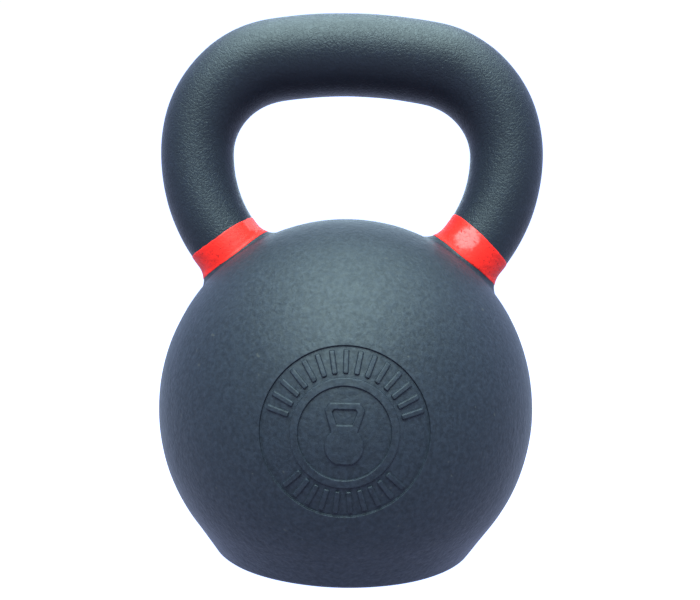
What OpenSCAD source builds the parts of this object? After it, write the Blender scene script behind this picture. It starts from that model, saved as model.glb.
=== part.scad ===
// One-piece cast-iron kettlebell with a painted band round the foot of each horn and a shallow
// relief medallion on the front of the ball.
// +Z is up, X runs along the handle and the medallion faces -Y. The origin is the centre of the
// flat that it stands on. Sizes are in millimetres and angles in degrees.

/* [Ball] */
// Diameter of the ball
ball_d = 170; // [160:1:200]
// Height of the ball's centre above the floor
ball_z = 65.6; // [60:0.2:72]
// Diameter of the flat underneath
base_flat_d = 110; // [90:1:120]
// Rounding between the flat and the skirt that rises to the ball
base_edge_r = 5; // [3:0.5:8]

/* [Handle] */
// Overall height
overall_h = 246.5; // [240:0.5:260]
// Overall width across the two horns
handle_w = 178.5; // [170:0.5:190]
// Diameter of the bar that the hand holds
grip_d = 37.2; // [30:0.2:40]
// Diameter of the horns
horn_d = 33.5; // [28:0.1:36]
// Centreline radius of the bar's gentle crown
crown_r = 215; // [150:5:400]
// Centreline radius of the corners between bar and horns
corner_r = 44; // [36:0.2:50]
// Fillet where a horn meets the ball, in the handle's plane
root_fillet_r = 11; // [8:0.5:14]
// The same fillet in front and behind, where horn and ball almost meet in a crease
root_front_r = 2.5; // [2.5:0.5:6]

/* [Colour bands] */
// How far the left band's lower edge is above the level where horn and ball would meet unfilleted
left_band_gap = 1.4; // [0.8:0.1:4]
// Width of the left band, along the horn
left_band_w = 10.8; // [9:0.2:14]
// How far the right band's lower edge is above the same level
right_band_gap = 1.9; // [0.8:0.1:4]
// Width of the right band, along the horn
right_band_w = 13; // [9:0.2:14]
// Thickness of the paint
band_t = 0.3; // [0.2:0.05:0.6]

/* [Medallion] */
// Diameter of the recess in the ball's front
medallion_d = 61.8; // [50:0.2:70]
// Depth of the recess below the ball's surface
recess_depth = 0.8; // [0.5:0.1:1.5]
// How far the relief stands up from the recess floor
relief_h = 0.8; // [0.4:0.1:0.8]
// Outer diameter of the raised ring
ring_d = 39.6; // [30:0.2:44]
// Width of the raised ring
ring_w = 3.1; // [2:0.1:4]
// Radial bars in the upper arc
upper_bars = 15; // [5:2:17]
// Radial bars in the lower arc
lower_bars = 10; // [4:1:12]
// Angle from one bar to the next
bar_pitch = 10.5; // [8:0.5:12]
// Length of a bar
bar_l = 8.4; // [5:0.2:9]
// Width of a bar
bar_w = 2; // [1.2:0.1:2.6]
// Height of the pictogram in the middle
badge_h = 22; // [16:1:26]

/* [Hidden] */

iron = [0.21, 0.24, 0.27];
paint = [0.90, 0.13, 0.12];

ball_r = ball_d / 2;
base_flat_r = base_flat_d / 2;
grip_r = grip_d / 2;
horn_r = horn_d / 2;
smooth = 96;            // steps in a full circle
corner_steps = 18;      // rings along a corner
corner_sides = 48;      // points round a corner's ring
root_sides = 72;        // points round a root's ring
root_steps = 8;         // rings beside a band, and as many again below it
overlap = 1;            // how far a piece of the handle runs into the next one
overlap_step = 0.05;    // how far its surface lies below the next one's there
fillet_sink = 0.03;     // how far a root fillet runs on into the ball
band_step = 0.01;       // the step between a band's two stretches, too small to see

// The handle's centreline, as [x, z] from the ball's centre, with angles measured from +Z towards +X:
// a crown, a corner and a horn, each an arc that is tangent to the next. The horn ends pointing
// straight at the ball's centre, where its fillet has run out.
half_w = (handle_w - horn_d) / 2;
crown_c = [0, overall_h - grip_r - ball_z - crown_r];
crown_a = asin((half_w - corner_r) / (crown_r - corner_r));
corner_c = crown_c + (crown_r - corner_r) * [sin(crown_a), cos(crown_a)];
root_h = sqrt(pow(ball_r + root_fillet_r, 2) - pow(horn_r + root_fillet_r, 2));
arc_r = (pow(half_w, 2) + pow(corner_c[1], 2) - pow(root_h, 2)) / (2 * half_w);
arc_c = [half_w - arc_r, corner_c[1]];
root_a = acos(root_h / norm(arc_c)) + atan2(arc_c[0], arc_c[1]);

// Heights of the bands' lower edges along a root's axis
meet_h = sqrt(pow(ball_r, 2) - pow(horn_r, 2));
left_low_h = meet_h + left_band_gap;
right_low_h = meet_h + right_band_gap;

// The medallion's surfaces are spheres about the ball's centre
floor_r = ball_r - recess_depth;
relief_r = floor_r + relief_h;
recess_r = medallion_d / 2;
bar_rho = (ring_d / 2 + recess_r) / 2;
front_reach = ball_r + 2;

function smoothstep(t) = t * t * (3 - 2 * t);
function clamp01(t) = max(0, min(1, t));

// Local +Z becomes the way the medallion faces, with X to the right and Y up
module facing_front() translate([0, 0, ball_z]) rotate([90, 0, 0]) children();

// The XZ plane through the ball's centre, seen from the front
module in_handle_plane() translate([0, 0, ball_z]) rotate([90, 0, 0]) children();

// Local +Z becomes the axis that a horn's root follows out of the ball
module along_root() translate([0, 0, ball_z]) rotate([0, root_a, 0]) children();

module both_sides() {
    children();
    mirror([1, 0, 0]) children();
}

// A round bar, or a ring if bore is given, along an arc of the handle's plane from angle a1 to a2
module arc_bar(c, r, a1, a2, bar_r, bore = 0) {
    in_handle_plane() translate([c[0], c[1], 0])
        rotate_extrude(start = 90 - a2, angle = a2 - a1, $fn = smooth)
            translate([r, 0]) ring2d(bar_r, bore);
}

module ring2d(r, bore) {
    if (bore > 0) {
        difference() {
            circle(r = r, $fn = smooth);
            circle(r = bore, $fn = smooth);
        }
    } else {
        circle(r = r, $fn = smooth);
    }
}

// ---- ball ----

// The ball's outline on its right side: a sphere, a skirt tangent to it and a rounded foot
module ball_profile() {
    foot = [base_flat_r, base_edge_r];
    reach = foot - [0, ball_z];
    skirt_a = atan2(-reach[1], reach[0]) - acos((ball_r - base_edge_r) / norm(reach));
    out = [cos(skirt_a), -sin(skirt_a)];
    intersection() {
        square([2 * ball_r, ball_z + 2 * ball_r]);
        union() {
            translate([0, ball_z]) circle(r = ball_r, $fn = 2 * smooth);
            translate(foot) circle(r = base_edge_r, $fn = smooth);
            polygon([
                [0, ball_z],
                [0, ball_z] + ball_r * out,
                foot + base_edge_r * out,
                [base_flat_r, 0],
                [0, 0]
            ]);
        }
    }
}

// A horn's foot: a straight boss with a concave fillet that runs out on the ball. The fillet is wide
// in the handle's plane, where turn is 0 or 180, and tight in front and behind.
function fillet_r(turn) = root_front_r + (root_fillet_r - root_front_r) * pow(cos(turn), 4);
function fillet_h(r) = sqrt(pow(ball_r + r, 2) - pow(horn_r + r, 2)) - fillet_sink;
function touch_h(r) = fillet_h(r) * ball_r / (ball_r + r);
function skin_rho(h, r, lift) =
    horn_r + r - sqrt(pow(r - lift, 2) - pow(max(0, fillet_h(r) - h), 2));
function skin_point(h, turn, lift = 0) =
    let (rho = skin_rho(h, fillet_r(turn), lift)) [rho * cos(turn), -rho * sin(turn), h];
function skin_ring(h, lift = 0) =
    [for (j = [0 : root_sides - 1]) skin_point(h, 360 * j / root_sides, lift)];

// Heights of the rings beside a band, from its lower edge to the seam with the handle
function film_h(low_h, i) = low_h + (root_h - low_h) * i / root_steps;

// Faces that join each ring of points to the next
function tube_faces(rings, sides) = [
    for (i = [0 : rings - 2], j = [0 : sides - 1])
        let (a = i * sides + j, b = i * sides + (j + 1) % sides)
        each [[a, b, b + sides], [a, b + sides, a + sides]]
];

module root(low_h) {
    below = [
        for (i = [0 : root_steps - 1], j = [0 : root_sides - 1])
            let (turn = 360 * j / root_sides, start = touch_h(fillet_r(turn)))
            skin_point(start + (low_h - start) * i / root_steps, turn)
    ];
    beside = [for (i = [0 : root_steps]) each skin_ring(film_h(low_h, i))];
    rings = 2 * root_steps + 1;
    tip = rings * root_sides;
    polyhedron(
        points = concat(below, beside, [[0, 0, ball_r / 2]]),
        faces = concat(
            [for (j = [0 : root_sides - 1]) [tip, (j + 1) % root_sides, j]],
            tube_faces(rings, root_sides),
            [[for (j = [0 : root_sides - 1]) tip - root_sides + j]]
        )
    );
}

module recess() {
    facing_front() difference() {
        cylinder(r = recess_r, h = front_reach, $fn = smooth);
        sphere(r = floor_r, $fn = 2 * smooth);
    }
}

module ball() color(iron) difference() {
    union() {
        rotate_extrude($fn = 2 * smooth) ball_profile();
        along_root() root(right_low_h);
        mirror([1, 0, 0]) along_root() root(left_low_h);
    }
    recess();
}

// ---- handle ----

// The corner's bar swells smoothly from the horn's radius to the grip's
function corner_bar_r(a) =
    horn_r + (grip_r - horn_r) * smoothstep(clamp01((90 - a) / (90 - crown_a))) - overlap_step;
function corner_point(a, turn) =
    let (reach = corner_r + corner_bar_r(a) * cos(turn))
    [corner_c[0] + reach * sin(a), corner_bar_r(a) * sin(turn), ball_z + corner_c[1] + reach * cos(a)];

module corner() {
    extra = overlap / corner_r * 180 / PI;
    first = crown_a - extra;
    last = 90 + extra;
    points = [
        for (i = [0 : corner_steps], j = [0 : corner_sides - 1])
            corner_point(first + (last - first) * i / corner_steps, 360 * j / corner_sides)
    ];
    sides = tube_faces(corner_steps + 1, corner_sides);
    start_cap = [for (j = [corner_sides - 1 : -1 : 0]) j];
    end_cap = [for (j = [0 : corner_sides - 1]) corner_steps * corner_sides + j];
    polyhedron(points = points, faces = concat([start_cap], sides, [end_cap]));
}

module handle() color(iron) {
    arc_bar(crown_c, crown_r, -crown_a, crown_a, grip_r);
    both_sides() {
        corner();
        arc_bar(arc_c, arc_r, 90, 90 + root_a, horn_r);
    }
}

// ---- colour bands ----

// Beside a root: one film, as a tube up its outer side and down its inner side
module root_film(low_h) {
    points = concat(
        [for (i = [0 : root_steps]) each skin_ring(film_h(low_h, i), band_t)],
        [for (i = [root_steps : -1 : 0]) each skin_ring(film_h(low_h, i))]
    );
    rings = 2 * root_steps + 2;
    last = (rings - 1) * root_sides;
    closing = [
        for (j = [0 : root_sides - 1])
            let (n = (j + 1) % root_sides)
            each [[last + j, last + n, n], [last + j, n, j]]
    ];
    polyhedron(points = points, faces = concat(tube_faces(rings, root_sides), closing));
}

// Below the seam the band follows the root, above it the horn
module band(low_h, width) color(paint) {
    along_root() root_film(low_h);
    bore = horn_r + band_step;
    rise_a = (low_h + width - root_h) / arc_r * 180 / PI;
    arc_bar(arc_c, arc_r, 90 + root_a - rise_a, 90 + root_a, bore + band_t, bore);
}

module right_band() band(right_low_h, right_band_w);
module left_band() mirror([1, 0, 0]) band(left_low_h, left_band_w);

// ---- medallion ----

// A flat drawing, raised from the recess floor as a thin curved solid
module relief() facing_front() intersection() {
    linear_extrude(height = front_reach) children();
    difference() {
        sphere(r = relief_r, $fn = 2 * smooth);
        sphere(r = floor_r, $fn = 2 * smooth);
    }
}

module mark_ring() color(iron) relief() ring2d(ring_d / 2, ring_d / 2 - ring_w);

module bar_row(count, middle) {
    for (i = [0 : count - 1])
        rotate(middle + (i - (count - 1) / 2) * bar_pitch)
            translate([bar_rho, 0]) square([bar_l, bar_w], center = true);
}

module mark_bars() color(iron) relief() {
    bar_row(upper_bars, 90);
    bar_row(lower_bars, 270);
}

// A plain kettlebell outline, in two drawings: a ball with a flat foot, and its open handle
badge_unit = badge_h / 22;

module badge_bell() intersection() {
    translate([0, -4.6]) circle(r = 7, $fn = smooth);
    translate([-7, -11]) square([14, 14]);
}

module badge_loop() difference() {
    polygon([[-4.6, 0], [-7.2, 8.2], [-5.4, 11], [5.4, 11], [7.2, 8.2], [4.6, 0]]);
    polygon([[-2.7, 3.2], [-4.4, 7.6], [-3.7, 8.5], [3.7, 8.5], [4.4, 7.6], [2.7, 3.2]]);
}

module mark_badge() color(iron) {
    relief() scale(badge_unit) badge_bell();
    relief() scale(badge_unit) badge_loop();
}

ball();
handle();
left_band();
right_band();
mark_ring();
mark_bars();
mark_badge();
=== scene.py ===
"""A one-piece cast-iron kettlebell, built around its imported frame.

Each plain node is replaced by a closed mesh made here on the same formulas: the ball with its recess,
roots and foot, the handle, two hand-painted bands and the medallion's relief. Lengths are in metres,
+Z is up, X runs along the handle and the medallion faces -Y.
"""

import math

import bmesh
import bpy
import numpy as np
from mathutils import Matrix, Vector, noise


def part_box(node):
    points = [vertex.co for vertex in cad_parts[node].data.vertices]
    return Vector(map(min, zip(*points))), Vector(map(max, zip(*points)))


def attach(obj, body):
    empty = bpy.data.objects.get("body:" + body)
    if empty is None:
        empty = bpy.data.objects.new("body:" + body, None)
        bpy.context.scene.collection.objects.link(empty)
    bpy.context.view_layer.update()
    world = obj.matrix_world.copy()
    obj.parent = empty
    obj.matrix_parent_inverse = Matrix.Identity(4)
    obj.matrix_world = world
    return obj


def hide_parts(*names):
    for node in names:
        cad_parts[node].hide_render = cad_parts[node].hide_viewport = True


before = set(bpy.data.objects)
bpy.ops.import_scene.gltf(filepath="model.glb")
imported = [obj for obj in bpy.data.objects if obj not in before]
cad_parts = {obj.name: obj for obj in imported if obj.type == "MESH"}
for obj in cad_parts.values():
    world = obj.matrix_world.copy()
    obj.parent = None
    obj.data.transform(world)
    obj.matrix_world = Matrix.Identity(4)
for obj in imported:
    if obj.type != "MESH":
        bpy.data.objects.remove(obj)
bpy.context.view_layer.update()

MM = 0.001

# ---- dimensions ----

ball_lo, ball_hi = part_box("ball")
handle_lo, handle_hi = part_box("handle")
ring_lo, ring_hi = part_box("mark_ring")
badge_lo, badge_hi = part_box("mark_badge")


def tenth(length):
    """A length read off the frame's facets, rounded to a tenth of a millimetre."""
    return round(length, 4)


BALL_R = tenth((ball_hi.x - ball_lo.x) / 2)
BALL_Z = tenth(ball_hi.z - BALL_R)
GRIP_R = tenth((handle_hi.y - handle_lo.y) / 2)
HANDLE_W = tenth(handle_hi.x - handle_lo.x)
OVERALL_H = tenth(handle_hi.z)
BASE_FLAT_R = 55 * MM
BASE_EDGE_R = 5 * MM

HORN_R = 16.75 * MM
CROWN_R = 215 * MM
CORNER_R = 44 * MM
ROOT_FILLET_R = 11 * MM     # in the handle's plane
ROOT_FRONT_R = 2.5 * MM     # in front and behind

LEFT_BAND_GAP = 1.4 * MM    # from where horn and ball would meet unfilleted to a band's lower edge
LEFT_BAND_W = 10.8 * MM
RIGHT_BAND_GAP = 1.9 * MM
RIGHT_BAND_W = 13 * MM
RIGHT_BAND_SKEW = 3 * MM    # how far its upper edge rises on the inner side and drops on the outer
BAND_DROP = 0.75 * MM       # how far a band is higher in the handle's plane, and lower in front
PAINT_T = 0.28 * MM         # how far the paint rises from the film's edge
PAINT_DIP = 0.02 * MM       # how far that edge lies below the iron's surface
PAINT_ROOT = 0.25 * MM      # how far the film's inner side is sunk
PAINT_EDGE = 0.7 * MM       # width of the film's rounded edge
PAINT_WOBBLE = 0.3 * MM     # how far the brushed edges stray
STREAK_W = 1.3 * MM         # width of the brush's streaks
STREAK_RISE = 0.18          # how much they vary the paint's thickness

RECESS_R = 30.9 * MM
RECESS_DEPTH = 0.8 * MM
WALL_W = 0.5 * MM           # plan width of every wall on the medallion
RING_R = tenth((ring_hi.x - ring_lo.x) / 2)
RING_W = 3.1 * MM
UPPER_BARS = 15
LOWER_BARS = 10
BAR_PITCH = math.radians(10.5)
BAR_L = 8.4 * MM
BAR_W = 2 * MM
BADGE_H = tenth(badge_hi.z - badge_lo.z)
RELIEF_ROOT = 0.3 * MM      # how far a relief's skirt runs below the floor

CENTRE = np.array([0, 0, BALL_Z])
FLOOR_R = BALL_R - RECESS_DEPTH
QUARTER = math.radians(90)

# The handle's centreline: a crown, a corner and a horn, each an arc tangent to the next. Points are
# (x, z) from the ball's centre and angles run from +Z towards +X.
half_w = HANDLE_W / 2 - HORN_R
crown_c = np.array([0, OVERALL_H - GRIP_R - BALL_Z - CROWN_R])
CROWN_A = math.asin((half_w - CORNER_R) / (CROWN_R - CORNER_R))
corner_c = crown_c + (CROWN_R - CORNER_R) * np.array([math.sin(CROWN_A), math.cos(CROWN_A)])
ROOT_H = math.sqrt((BALL_R + ROOT_FILLET_R) ** 2 - (HORN_R + ROOT_FILLET_R) ** 2)
MEET_H = math.sqrt(BALL_R ** 2 - HORN_R ** 2)
ARC_R = (half_w ** 2 + corner_c[1] ** 2 - ROOT_H ** 2) / (2 * half_w)
arc_c = np.array([half_w - ARC_R, corner_c[1]])
ROOT_A = math.acos(ROOT_H / np.hypot(*arc_c)) + math.atan2(arc_c[0], arc_c[1])


def smoothstep(t):
    t = np.clip(t, 0, 1)
    return t * t * (3 - 2 * t)


# ---- meshes ----

BROAD_WAVE = 38 * MM        # the casting's unevenness: the size and the height of its two waves
BROAD_SHIFT = 0.22 * MM
CLOSE_WAVE = 13 * MM
CLOSE_SHIFT = 0.07 * MM
FOOT_CALM = 6 * MM          # its vertical part sets in up to this height, so the foot stays flat
WAVE_SEED = 1               # without a seed, noise_vector's waves differ from run to run

noise.seed_set(WAVE_SEED)


def uneven(points):
    """The casting's unevenness: one smooth field moves every piece, so neighbours stay together."""
    moved = np.array(points, float)
    for i, p in enumerate(moved):
        broad = noise.noise_vector(Vector(p) / BROAD_WAVE)
        close = noise.noise_vector(Vector(p) / CLOSE_WAVE)
        shift = BROAD_SHIFT * np.array(broad) + CLOSE_SHIFT * np.array(close)
        shift[2] *= smoothstep(p[2] / FOOT_CALM)
        moved[i] = p + shift
    return moved


class Shell:
    """One closed mesh, gathered ring by ring."""

    def __init__(self):
        self.points = []
        self.faces = []

    def ring(self, points):
        """Adds points and returns their indices."""
        first = len(self.points)
        self.points.extend(np.asarray(points, float).reshape(-1, 3).tolist())
        return np.arange(first, len(self.points))

    def bridge(self, a, b):
        """Joins two closed rings of the same length."""
        for i in range(len(a)):
            self.faces.append((a[i - 1], a[i], b[i], b[i - 1]))

    def fan(self, loop, tip_point):
        tip = self.ring([tip_point])[0]
        for i in range(len(loop)):
            self.faces.append((loop[i - 1], loop[i], tip))

    def build(self, name, node, material):
        """Makes the piece, which rides on the one body and stands for a node."""
        used = sorted({i for face in self.faces for i in face})
        place = {old: new for new, old in enumerate(used)}
        mesh = bpy.data.meshes.new(name)
        mesh.from_pydata(
            uneven([self.points[i] for i in used]).tolist(),
            [],
            [[place[i] for i in face] for face in self.faces],
        )
        work = bmesh.new()
        work.from_mesh(mesh)
        bmesh.ops.recalc_face_normals(work, faces=work.faces)
        work.to_mesh(mesh)
        work.free()
        mesh.shade_smooth()
        mesh.materials.append(material)
        piece = bpy.data.objects.new(name, mesh)
        bpy.context.scene.collection.objects.link(piece)
        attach(piece, "root")
        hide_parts(node)


# ---- ball ----

GRID = 432                  # cells round the ball
CELL = 2 * math.pi / GRID
ROOT_REACH = (25, 41)       # rows and columns from a root's middle to the edge of its patch
RECESS_REACH = (31, 31)     # the same for the recess's patch
ROOT_RINGS = 32             # rings up a root's skin


def patch(shell, loop, axis, find_profile):
    """Closes a gap in the ball's grid.

    Rings close in from the gap's edge to the profile's first ring, then follow the profile, a list
    of (distance from the axis, height along it) with one entry per spoke, to the middle.
    """
    edge = np.array([shell.points[i] for i in loop]) - CENTRE
    height = edge @ axis
    flat = edge - np.outer(height, axis)
    away = np.linalg.norm(flat, axis=1)
    spokes = flat / away[:, None]
    profile = find_profile(spokes)
    edge_angle = np.arctan2(away, height)
    first_angle = np.arctan2(*profile[0])
    steps = round(float(np.mean(edge_angle - first_angle)) / CELL)
    rings = []
    for f in np.linspace(0, 1, steps + 1)[1:-1]:
        angle = edge_angle + (first_angle - edge_angle) * f
        rings.append((BALL_R * np.sin(angle), BALL_R * np.cos(angle)))
    for rho, h in rings + profile:
        points = CENTRE + h[:, None] * axis + rho[:, None] * spokes
        ring = shell.ring(points)
        shell.bridge(loop, ring)
        loop = ring
    shell.fan(loop, CENTRE + profile[-1][1][0] * axis)


def fillet_radius(sideways):
    """A root's fillet for a spoke that points sideways by that much of its length."""
    return ROOT_FRONT_R + (ROOT_FILLET_R - ROOT_FRONT_R) * (1 - sideways ** 2) ** 2


def fillet_height(r):
    return np.sqrt((BALL_R + r) ** 2 - (HORN_R + r) ** 2)


def root_skin(r, down, lift=0):
    """A root's skin, raised by lift, at a distance down from the seam, for a fillet of radius r."""
    above_fillet = ROOT_H - fillet_height(r)
    bend = np.maximum(0, down - above_fillet) / r
    rho = HORN_R + r - (r - lift) * np.cos(bend)
    h = ROOT_H - np.minimum(down, above_fillet) - (r - lift) * np.sin(bend)
    return rho, h


def root_profile(spokes):
    """A concave fillet from the ball up to the boss that the horn stands on, then the boss's top."""
    r = fillet_radius(spokes[:, 1])
    length = ROOT_H - fillet_height(r) + r * np.arccos((HORN_R + r) / (BALL_R + r))
    skin = [root_skin(r, length * f) for f in np.linspace(1, 0, ROOT_RINGS)]
    rho, h = skin[-1]
    return skin + [(rho * k, h) for k in (0.8, 0.5, 0.2)]


def recess_profile(spokes):
    """The ball's surface stepping down to the medallion's floor, then the floor."""
    rhos = np.concatenate([
        RECESS_R + np.linspace(1.6, 0.5, 3) * MM,
        RECESS_R + np.linspace(WALL_W / 2, -WALL_W / 2, 12),
        RECESS_R - np.linspace(0.6, 1.6, 3) * MM,
        np.linspace(RECESS_R - 2.6 * MM, 1 * MM, 26),
    ])
    drop = smoothstep((RECESS_R + WALL_W / 2 - rhos) / WALL_W)
    radii = BALL_R - RECESS_DEPTH * drop
    ones = np.ones(len(spokes))
    return [(rho * ones, math.sqrt(r * r - rho * rho) * ones) for rho, r in zip(rhos, radii)]


def foot_profile(skirt_a):
    """From the end of the sphere down the skirt, round the foot's edge and in across the flat."""
    out = np.array([math.cos(skirt_a), -math.sin(skirt_a)])
    foot = np.array([BASE_FLAT_R, BASE_EDGE_R - BALL_Z])
    start = BALL_R * out
    end = foot + BASE_EDGE_R * out
    skirt = [start + (end - start) * t for t in np.linspace(0, 1, 12)]
    edge = [
        foot + BASE_EDGE_R * np.array([math.cos(a), -math.sin(a)])
        for a in np.linspace(skirt_a, QUARTER, 14)[1:]
    ]
    flat = [np.array([BASE_FLAT_R * k, -BALL_Z]) for k in np.linspace(1, 0.03, 20)[1:]]
    return skirt + edge + flat


def block_edges(angle, column, reach):
    """The top and bottom rows and the left and right columns of a block about a direction."""
    row = round(angle / CELL) - 1
    return row - reach[0], row + reach[0], column - reach[1], column + reach[1]


def block_loop(grid, top, bottom, left, right):
    """The indices round a block of the grid, in order."""
    columns = np.arange(left, right + 1) % GRID
    rows = np.arange(top, bottom + 1)
    return np.concatenate([
        grid[top, columns[:-1]],
        grid[rows[:-1], columns[-1]],
        grid[bottom, columns[:0:-1]],
        grid[rows[:0:-1], columns[0]],
    ])


def make_ball(material):
    shell = Shell()
    reach = np.array([BASE_FLAT_R, BASE_EDGE_R - BALL_Z])
    skirt_a = math.atan2(-reach[1], reach[0]) - math.acos(
        (BALL_R - BASE_EDGE_R) / np.linalg.norm(reach)
    )
    turns = np.arange(GRID) * CELL
    spokes = np.stack([np.cos(turns), np.sin(turns), np.zeros(GRID)], axis=1)
    up = np.array([0, 0, 1])
    sphere_rows = int((QUARTER + skirt_a) / CELL)
    downs = [k * CELL for k in range(1, sphere_rows)]
    outline = [(BALL_R * math.sin(down), BALL_R * math.cos(down)) for down in downs]
    outline += foot_profile(skirt_a)
    grid = np.array([shell.ring(CENTRE + h * up + rho * spokes) for rho, h in outline])

    # Blocks of the grid that a patch replaces
    front = GRID * 3 // 4
    blocks = [(*block_edges(QUARTER, front, RECESS_REACH), np.array([0, -1, 0]), recess_profile)]
    for column, side in ((0, 1), (GRID // 2, -1)):
        axis = np.array([side * math.sin(ROOT_A), 0, math.cos(ROOT_A)])
        blocks.append((*block_edges(ROOT_A, column, ROOT_REACH), axis, root_profile))

    skip = np.zeros((len(outline), GRID), bool)
    for top, bottom, left, right, _, _ in blocks:
        skip[top:bottom, np.arange(left, right) % GRID] = True
    for k in range(len(outline) - 1):
        for j in range(GRID):
            if not skip[k, j]:
                n = (j + 1) % GRID
                shell.faces.append((grid[k, j], grid[k, n], grid[k + 1, n], grid[k + 1, j]))
    for top, bottom, left, right, axis, find_profile in blocks:
        patch(shell, block_loop(grid, top, bottom, left, right), axis, find_profile)
    shell.fan(grid[0], CENTRE + BALL_R * up)
    shell.fan(grid[-1], [0, 0, 0])
    shell.build("ball_casting", "ball", material)


# ---- handle ----

BAR_SIDES = 144
SPINE_STEP = 1 * MM


def bar_radius(a):
    """The horns are thinner than the grip; the corners swell smoothly from one to the other."""
    return HORN_R + (GRIP_R - HORN_R) * smoothstep((QUARTER - a) / (QUARTER - CROWN_A))


def bar_ring(centre, a, radius):
    """Points round the bar, where its outward side faces the angle a."""
    turns = np.arange(BAR_SIDES) * 2 * math.pi / BAR_SIDES
    reach = radius * np.cos(turns)
    return np.stack([
        centre[0] + reach * math.sin(a),
        radius * np.sin(turns),
        BALL_Z + centre[1] + reach * math.cos(a),
    ], axis=1)


def right_spine():
    """Stations from the right root's seam to the middle of the bar: (x, z), angle and radius."""
    stations = []
    for middle, radius, first, last in (
        (arc_c, ARC_R, QUARTER + ROOT_A, QUARTER),
        (corner_c, CORNER_R, QUARTER, CROWN_A),
        (crown_c, CROWN_R, CROWN_A, 0),
    ):
        steps = round(radius * (first - last) / SPINE_STEP)
        for a in np.linspace(first, last, steps, endpoint=False):
            out = np.array([math.sin(a), math.cos(a)])
            stations.append((middle + radius * out, a, bar_radius(a)))
    return stations


def make_handle(material):
    shell = Shell()
    right = right_spine()
    middle = (crown_c + [0, CROWN_R], 0, GRIP_R)
    left = [(centre * [-1, 1], -a, radius) for centre, a, radius in reversed(right)]
    stations = right + [middle] + left
    rings = [shell.ring(bar_ring(*station)) for station in stations]
    for a, b in zip(rings, rings[1:]):
        shell.bridge(a, b)
    for ring, station in ((rings[0], stations[0]), (rings[-1], stations[-1])):
        x, z = station[0]
        shell.fan(ring, [x, 0, BALL_Z + z])
    shell.build("handle_casting", "handle", material)


# ---- colour bands ----

BAND_SIDES = 240


def skin_point(s, turn, lift):
    """A point on the right root's skin, raised by lift.

    s runs along the skin from the seam: up the horn where positive, down the root where negative.
    """
    if s >= 0:
        a = QUARTER + ROOT_A - s / ARC_R
        x, z = arc_c + ARC_R * np.array([math.sin(a), math.cos(a)])
        rho = HORN_R + lift
    else:
        a = QUARTER + ROOT_A
        rho, along = root_skin(fillet_radius(math.sin(turn)), -s, lift)
        x, z = along * math.sin(ROOT_A), along * math.cos(ROOT_A)
    reach = rho * math.cos(turn)
    return [x + reach * math.sin(a), rho * math.sin(turn), BALL_Z + z + reach * math.cos(a)]


def brushed(turn, seed):
    """A hand-held brush's wander round the horn, from -1 to 1."""
    around = Vector((math.cos(turn), math.sin(turn), 0))
    slow = noise.noise(around * 1.6 + Vector((0, 0, seed)))
    quick = noise.noise(around * 7 + Vector((0, 0, seed + 20)))
    return slow + 0.45 * quick


def make_band(name, node, side, gap, width, skew, material):
    shell = Shell()
    low_h = MEET_H + gap
    rings = []
    for turn in np.arange(BAND_SIDES) * 2 * math.pi / BAND_SIDES:
        tilt = BAND_DROP * math.cos(2 * turn)
        r = fillet_radius(math.sin(turn))
        bend = math.asin((fillet_height(r) - low_h - tilt) / r)
        low = fillet_height(r) - ROOT_H - r * bend
        high = low_h + tilt + width - skew * math.cos(turn) - ROOT_H
        start = low + PAINT_WOBBLE * brushed(turn, 3 * side)
        end = high + PAINT_WOBBLE * brushed(turn, 9 + 3 * side)
        stretch = np.concatenate([
            start + PAINT_EDGE * np.linspace(0, 1, 6) ** 1.6,
            np.linspace(start + PAINT_EDGE, end - PAINT_EDGE, 18)[1:-1],
            end - PAINT_EDGE * np.linspace(1, 0, 6) ** 1.6,
        ])
        section = []
        for s in stretch:
            inward = min(s - start, end - s) / PAINT_EDGE
            ridge = math.sqrt(max(0, 1 - max(0, 1 - inward) ** 2))
            streak = 1 + STREAK_RISE * noise.noise(Vector((s / STREAK_W, turn * 1.5, 5 * side)))
            section.append(skin_point(s, turn, PAINT_T * ridge * streak - PAINT_DIP))
        section += [skin_point(s, turn, -PAINT_ROOT) for s in np.linspace(end, start, 8)]
        ring = np.array(section)
        ring[:, 0] *= side
        rings.append(shell.ring(ring))
    for i in range(BAND_SIDES):
        shell.bridge(rings[i - 1], rings[i])
    shell.build(name, node, material)


# ---- medallion ----

RELIEF_CELL = 0.22 * MM
RING_SIDES = 288
BAR_CORNER_R = 0.5 * MM


def on_medallion(plane, radius):
    """Points (x, up) of the medallion's drawing, carried back onto a sphere about the ball's centre."""
    x, up = plane[..., 0], plane[..., 1]
    return np.stack([x, -np.sqrt(radius ** 2 - x * x - up * up), BALL_Z + up], axis=-1)


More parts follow.
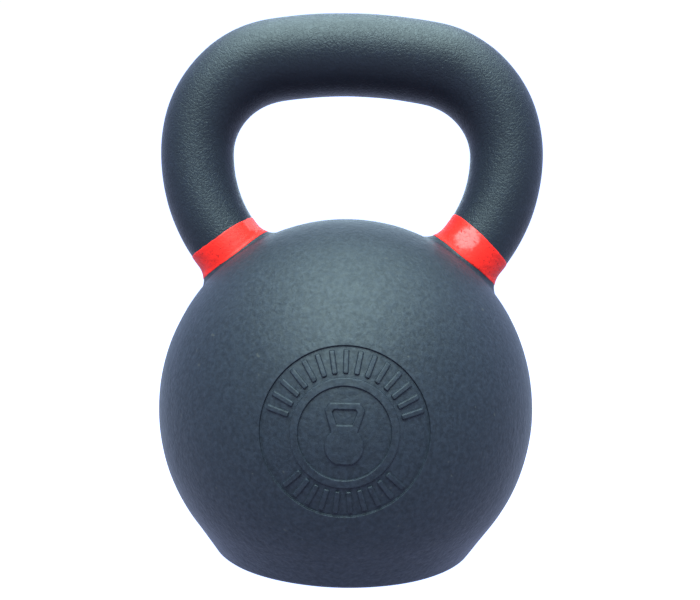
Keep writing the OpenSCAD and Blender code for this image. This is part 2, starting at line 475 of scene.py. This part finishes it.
def raise_relief(shell, plane, inside, wrap=False):
    """Adds a thin closed solid over a grid of the drawing, raised where inside is positive.

    inside is the distance in from the outline. The walls slope down past the floor, and the grid is
    cut away beyond them.
    """
    height = (RECESS_DEPTH + RELIEF_ROOT) * smoothstep(inside / WALL_W + 0.5) - RELIEF_ROOT
    top = shell.ring(on_medallion(plane, FLOOR_R + height)).reshape(inside.shape)
    bottom = shell.ring(on_medallion(plane, FLOOR_R - 2 * RELIEF_ROOT)).reshape(inside.shape)
    rows, columns = inside.shape
    near = inside > -WALL_W / 2
    last = columns if wrap else columns - 1
    kept = np.zeros((rows - 1, last), bool)
    for i in range(rows - 1):
        for j in range(last):
            n = (j + 1) % columns
            kept[i, j] = near[i, j] or near[i, n] or near[i + 1, j] or near[i + 1, n]

    def is_kept(i, j):
        if wrap:
            j %= last
        return 0 <= i < rows - 1 and 0 <= j < last and kept[i, j]

    for i, j in np.argwhere(kept):
        n = (j + 1) % columns
        corners = [(i, j), (i, n), (i + 1, n), (i + 1, j)]
        beyond = [(i - 1, j), (i, j + 1), (i + 1, j), (i, j - 1)]
        shell.faces.append([top[c] for c in corners])
        shell.faces.append([bottom[c] for c in reversed(corners)])
        for k, cell in enumerate(beyond):
            if not is_kept(*cell):
                a, b = corners[k], corners[(k + 1) % 4]
                shell.faces.append([top[b], top[a], bottom[a], bottom[b]])


def flat_grid(width, height):
    """A grid of points centred on the drawing's origin."""
    across = np.linspace(-width / 2, width / 2, round(width / RELIEF_CELL) + 1)
    up = np.linspace(-height / 2, height / 2, round(height / RELIEF_CELL) + 1)
    return np.stack(np.meshgrid(across, up), axis=-1)


def inside_box(plane, width, height, corner):
    """Distance in from the outline of a rectangle with rounded corners."""
    q = np.abs(plane) - np.array([width, height]) / 2 + corner
    outside = np.linalg.norm(np.maximum(q, 0), axis=-1)
    return corner - outside - np.minimum(q.max(axis=-1), 0)


def inside_polygon(plane, corners):
    """Distance in from the outline of a polygon, negative outside it."""
    away = np.full(plane.shape[:-1], np.inf)
    within = np.zeros(plane.shape[:-1], bool)
    for a, b in zip(corners, np.roll(corners, -1, axis=0)):
        edge = b - a
        reach = plane - a
        t = np.clip(reach @ edge / (edge @ edge), 0, 1)
        away = np.minimum(away, np.linalg.norm(reach - t[..., None] * edge, axis=-1))
        spans = (a[1] > plane[..., 1]) != (b[1] > plane[..., 1])
        if a[1] != b[1]:
            crossing = a[0] + (plane[..., 1] - a[1]) * edge[0] / edge[1]
            within ^= spans & (plane[..., 0] < crossing)
    return np.where(within, away, -away)


def make_ring(material):
    shell = Shell()
    middle = RING_R - RING_W / 2
    rho = middle + np.linspace(-1, 1, 27) * (RING_W / 2 + WALL_W)
    turns = np.arange(RING_SIDES) * 2 * math.pi / RING_SIDES
    rhos, angles = np.meshgrid(rho, turns, indexing="ij")
    plane = np.stack([rhos * np.cos(angles), rhos * np.sin(angles)], axis=-1)
    raise_relief(shell, plane, RING_W / 2 - np.abs(rhos - middle), wrap=True)
    shell.build("medallion_ring", "mark_ring", material)


def make_bars(material):
    shell = Shell()
    grid = flat_grid(BAR_L + 2 * WALL_W, BAR_W + 2 * WALL_W)
    inside = inside_box(grid, BAR_L, BAR_W, BAR_CORNER_R)
    bar_rho = (RING_R + RECESS_R) / 2
    for count, middle in ((UPPER_BARS, QUARTER), (LOWER_BARS, -QUARTER)):
        for i in range(count):
            a = middle + (i - (count - 1) / 2) * BAR_PITCH
            out = np.array([math.cos(a), math.sin(a)])
            side = np.array([-math.sin(a), math.cos(a)])
            plane = (grid[..., :1] + bar_rho) * out + grid[..., 1:] * side
            raise_relief(shell, plane, inside)
    shell.build("medallion_bars", "mark_bars", material)


def make_badge(material):
    """A plain kettlebell outline: a ball with a flat foot, and its open handle."""
    shell = Shell()
    unit = BADGE_H / 22
    loop = unit * np.array([[-4.6, 0], [-7.2, 8.2], [-5.4, 11], [5.4, 11], [7.2, 8.2], [4.6, 0]])
    eye = unit * np.array([[-2.7, 3.2], [-4.4, 7.6], [-3.7, 8.5], [3.7, 8.5], [4.4, 7.6], [2.7, 3.2]])
    plane = flat_grid(15 * unit + 2 * WALL_W, BADGE_H + 2 * WALL_W)
    bell = np.minimum(
        7 * unit - np.linalg.norm(plane + [0, 4.6 * unit], axis=-1),
        plane[..., 1] + BADGE_H / 2,
    )
    handle = np.minimum(inside_polygon(plane, loop), -inside_polygon(plane, eye))
    raise_relief(shell, plane, np.maximum(bell, handle))
    shell.build("medallion_badge", "mark_badge", material)


# ---- materials ----


class Net:
    """A material's nodes, all in the object's own coordinates."""

    def __init__(self, name):
        self.material = bpy.data.materials.new(name)
        self.material.use_nodes = True
        self.nodes = self.material.node_tree.nodes
        self.links = self.material.node_tree.links
        self.shader = self.nodes["Principled BSDF"]
        self.where = self.nodes.new("ShaderNodeTexCoord").outputs["Object"]

    def set(self, **values):
        for name, value in values.items():
            self.shader.inputs[name.replace("_", " ")].default_value = value

    def feed(self, name, output):
        self.links.new(output, self.shader.inputs[name])

    def put(self, socket, value):
        if isinstance(value, bpy.types.NodeSocket):
            self.links.new(value, socket)
        else:
            socket.default_value = value

    def noise(self, size, detail=2, rough=0.5, twist=0, where=None):
        """Noise from 0 to 1 whose lumps are about size across."""
        node = self.nodes.new("ShaderNodeTexNoise")
        self.links.new(where or self.where, node.inputs["Vector"])
        node.inputs["Scale"].default_value = 0.5 / size
        node.inputs["Detail"].default_value = detail
        node.inputs["Roughness"].default_value = rough
        node.inputs["Distortion"].default_value = twist
        return node.outputs["Fac"]

    def cells(self, size, feature="DISTANCE_TO_EDGE", where=None):
        """Distance to the nearest cell's edge or centre, for cells of about size."""
        node = self.nodes.new("ShaderNodeTexVoronoi")
        node.feature = feature
        self.links.new(where or self.where, node.inputs["Vector"])
        node.inputs["Scale"].default_value = 1 / size
        return node.outputs["Distance"]

    def warped(self, size, amount):
        """The object's coordinates, pushed about by noise."""
        node = self.nodes.new("ShaderNodeTexNoise")
        self.links.new(self.where, node.inputs["Vector"])
        node.inputs["Scale"].default_value = 0.5 / size
        centred = self.vector("SUBTRACT", node.outputs["Color"], (0.5, 0.5, 0.5))
        return self.vector("ADD", self.where, self.vector("MULTIPLY", centred, (amount,) * 3))

    def vector(self, operation, a, b, output="Vector"):
        node = self.nodes.new("ShaderNodeVectorMath")
        node.operation = operation
        self.put(node.inputs[0], a)
        self.put(node.inputs[1], b)
        return node.outputs[output]

    def range(self, value, low, high, to_low=0.0, to_high=1.0):
        """value from low to high becomes to_low to to_high, and stays within them."""
        node = self.nodes.new("ShaderNodeMapRange")
        node.interpolation_type = "SMOOTHSTEP"
        self.put(node.inputs["Value"], value)
        for name, number in (
            ("From Min", low), ("From Max", high), ("To Min", to_low), ("To Max", to_high),
        ):
            node.inputs[name].default_value = number
        return node.outputs["Result"]

    def blend(self, amount, a, b):
        """Colour a where amount is 0 and b where it is 1."""
        node = self.nodes.new("ShaderNodeMix")
        node.data_type = "RGBA"
        self.put(node.inputs["Factor"], amount)
        for socket, value in ((node.inputs[6], a), (node.inputs[7], b)):
            self.put(socket, value if isinstance(value, bpy.types.NodeSocket) else (*value, 1))
        return node.outputs[2]

    def bump(self, *layers):
        """Chains height layers, each (height, depth in metres), into the shader's normal."""
        below = None
        for height, depth in layers:
            node = self.nodes.new("ShaderNodeBump")
            node.inputs["Distance"].default_value = depth
            self.links.new(height, node.inputs["Height"])
            if below:
                self.links.new(below, node.inputs["Normal"])
            below = node.outputs["Normal"]
        self.feed("Normal", below)


def shade(colour, factor):
    return tuple(c * factor for c in colour)


COAT = (0.005, 0.0062, 0.009)
SCUFF = (0.016, 0.016, 0.016)
RED = (0.42, 0.006, 0.002)
# The red of the bands' painted highlight
PAINTED_HIGHLIGHT_RED = (0.42, 0.045, 0.04)


def add_bloom(net):
    """The faint, slightly blue sheen of a powder coat seen at a low angle."""
    net.set(Sheen_Weight=0.018, Sheen_Roughness=0.35, Sheen_Tint=(0.8, 0.85, 1.0, 1))


def fine_coat(name):
    """Matte powder coat over a smooth casting: orange peel, a fine grain, scuffs and a few pits."""
    net = Net(name)
    clouds = net.noise(22 * MM, detail=4, rough=0.6)
    mottle = net.noise(1.5 * MM, detail=3)
    grain = net.noise(0.7 * MM, detail=2)
    scuffs = net.range(net.cells(8 * MM, "F1", net.warped(2 * MM, 5 * MM)), 0.03, 0.08)
    tone = net.blend(net.range(clouds, 0.3, 0.7), shade(COAT, 0.92), shade(COAT, 1.08))
    tone = net.blend(net.range(mottle, 0.3, 0.7), shade(COAT, 0.8), tone)
    speck = net.blend(net.range(grain, 0.35, 0.7), tone, shade(COAT, 1.4))
    net.feed("Base Color", net.blend(scuffs, SCUFF, speck))
    net.feed("Roughness", net.range(net.noise(3 * MM, detail=3), 0.3, 0.7, 0.54, 0.57))
    glints = net.noise(1 * MM, detail=4, rough=0.7)
    net.feed("Specular IOR Level", net.range(glints, 0.3, 0.7, 0.1, 0.16))
    add_bloom(net)
    pits = net.range(net.cells(5 * MM, "F1", net.warped(4 * MM, 3 * MM)), 0.03, 0.10)
    net.bump(
        (pits, 0.03 * MM),
        (mottle, 0.2 * MM),
        (grain, 0.12 * MM),
    )
    return net.material


def coarse_coat(name):
    """The handle's heavier coat, drawn into short leathery wrinkles, with painted shade darkening their
    creases.
    """
    net = Net(name)
    clouds = net.noise(16 * MM, detail=4, rough=0.6)
    folds = net.noise(1.1 * MM, detail=3, rough=0.55, twist=1.4)
    crease_and_shade = net.range(net.cells(1.8 * MM, where=net.warped(1.2 * MM, 1.8 * MM)), 0.0, 0.14)
    tone = net.blend(net.range(clouds, 0.3, 0.7), shade(COAT, 0.8), shade(COAT, 1.15))
    # The creases are darkened: painted shade. The same mask also sinks them in the bump.
    tone = net.blend(crease_and_shade, shade(COAT, 0.75), tone)
    net.feed("Base Color", net.blend(net.range(folds, 0.5, 0.8), tone, shade(COAT, 1.4)))
    net.feed("Roughness", net.range(folds, 0.3, 0.7, 0.52, 0.42))
    net.set(Specular_IOR_Level=0.13)
    add_bloom(net)
    net.bump(
        (crease_and_shade, 0.05 * MM),
        (folds, 0.18 * MM),
        (net.noise(0.5 * MM, detail=2), 0.02 * MM),
    )
    return net.material


def painted_highlight_place(side, s, turn):
    """Where a band's painted highlight, a paler dab, is: s along the skin from the seam, and turn
    degrees round it.
    """
    x, y, z = skin_point(s, math.radians(turn), 0)
    return side * x, y, z


def band_paint(name, side, dab, highlight_size, highlight_strength):
    """Red brushed on in level streaks, thin enough to show the coat's texture, with one paler dab: a
    highlight painted into the red.
    """
    net = Net(name)
    squeezed = net.nodes.new("ShaderNodeMapping")
    squeezed.inputs["Rotation"].default_value = (0, -side * ROOT_A, 0)
    squeezed.inputs["Scale"].default_value = (1, 1, 5)
    net.links.new(net.where, squeezed.inputs["Vector"])
    streaks = net.noise(4 * MM, detail=4, rough=0.6, where=squeezed.outputs["Vector"])
    lumps = net.noise(1 * MM, detail=3, twist=1)
    tone = net.blend(net.range(streaks, 0.3, 0.7), shade(RED, 0.82), shade(RED, 1.1))
    # The paler dab is a highlight painted into the red, fading out over its size.
    reach = net.vector("DISTANCE", net.warped(1.2 * MM, 5 * MM), dab, "Value")
    painted_highlight = net.range(reach, 0.6 * highlight_size, highlight_size, highlight_strength, 0)
    tone = net.blend(painted_highlight, tone, PAINTED_HIGHLIGHT_RED)
    tone = net.blend(net.range(lumps, 0.3, 0.4), shade(RED, 0.55), tone)
    specks = net.range(net.noise(0.5 * MM, detail=2), 0.3, 0.37)
    net.feed("Base Color", net.blend(specks, shade(RED, 0.3), tone))
    net.feed("Roughness", net.range(lumps, 0.3, 0.7, 0.6, 0.5))
    net.set(Coat_Weight=0.02, Coat_Roughness=0.3, Specular_IOR_Level=0.13)
    net.bump((streaks, 0.05 * MM), (lumps, 0.12 * MM))
    return net.material


# ---- pieces ----

ball_coat = fine_coat("ball_powder_coat")
make_ball(ball_coat)
make_handle(coarse_coat("handle_powder_coat"))
# Where each band's painted highlight sits
right_highlight_spot = painted_highlight_place(1, 0.8 * MM, -113)
left_highlight_spot = painted_highlight_place(-1, 0.5 * MM, -155)
right_paint = band_paint("red_paint_right", 1, right_highlight_spot, 6.6 * MM, 1)
left_paint = band_paint("red_paint_left", -1, left_highlight_spot, 6 * MM, 0.6)
make_band("band_right", "right_band", 1, RIGHT_BAND_GAP, RIGHT_BAND_W, RIGHT_BAND_SKEW, right_paint)
make_band("band_left", "left_band", -1, LEFT_BAND_GAP, LEFT_BAND_W, 0, left_paint)
make_ring(ball_coat)
make_bars(ball_coat)
make_badge(ball_coat)

# ---- stage, light and camera ----

AMBIENT = (1.02, 1.2, 1.95)         # the surroundings, bright enough to show as white
LIGHT = (0.72, 1.0, 0.97)           # the lamps lean to cyan
FLOOR_HALF = 6                      # half the floor's side, in metres
FLOOR_DROP = 0.1 * MM               # keeps the floor clear of the foot
CAMERA_SIDE = 0.75 * MM             # from the ball's centre towards +X
CAMERA_AWAY = 4 * BALL_R
CAMERA_RISE = 47.5 * MM             # above the ball's centre
CAMERA_ROLL = math.radians(-1.4)


def make_floor():
    """A pale floor that glows like a light table, so that shadows on it stay faint."""
    mesh = bpy.data.meshes.new("floor")
    corners = [(-1, -1), (1, -1), (1, 1), (-1, 1)]
    points = [(x * FLOOR_HALF, y * FLOOR_HALF, -FLOOR_DROP) for x, y in corners]
    mesh.from_pydata(points, [], [(0, 1, 2, 3)])
    net = Net("pale_floor")
    net.set(Base_Color=(0.04, 0.03, 0.02, 1), Roughness=0.9, Emission_Color=(*AMBIENT, 1))
    net.set(Emission_Strength=1.0, Specular_IOR_Level=0.0)
    mesh.materials.append(net.material)
    floor = bpy.data.objects.new("floor", mesh)
    bpy.context.scene.collection.objects.link(floor)


def make_world():
    world = bpy.data.worlds.new("studio")
    world.use_nodes = True
    background = world.node_tree.nodes["Background"]
    background.inputs["Color"].default_value = (*AMBIENT, 1)
    bpy.context.scene.world = world


def make_sun(name, elevation, azimuth, strength, spread):
    """A distant soft light; azimuth is measured from the front towards +X."""
    light = bpy.data.lights.new(name, "SUN")
    light.energy = strength
    light.angle = math.radians(spread)
    light.color = LIGHT
    lamp = bpy.data.objects.new(name, light)
    e, a = math.radians(elevation), math.radians(azimuth)
    towards = Vector((math.cos(e) * math.sin(a), -math.cos(e) * math.cos(a), math.sin(e)))
    lamp.rotation_mode = "QUATERNION"
    lamp.rotation_quaternion = towards.to_track_quat("Z", "Y")
    bpy.context.scene.collection.objects.link(lamp)


def make_camera():
    """Close, a little above the ball's centre and slightly rolled."""
    lens = bpy.data.cameras.new("camera")
    lens.sensor_width = 36
    lens.lens = 37.2
    lens.clip_start = 0.01
    camera = bpy.data.objects.new("camera", lens)
    camera.location = (CAMERA_SIDE, -CAMERA_AWAY, BALL_Z + CAMERA_RISE)
    camera.rotation_euler = (QUARTER, CAMERA_ROLL, 0)
    bpy.context.scene.collection.objects.link(camera)
    bpy.context.scene.camera = camera


make_floor()
make_world()
make_sun("overhead", elevation=82, azimuth=0, strength=12.4, spread=70)
make_sun("front", elevation=48, azimuth=-6, strength=13.5, spread=50)
make_sun("back", elevation=24, azimuth=180, strength=1.0, spread=40)
make_camera()
bpy.context.scene.view_settings.view_transform = "Standard"
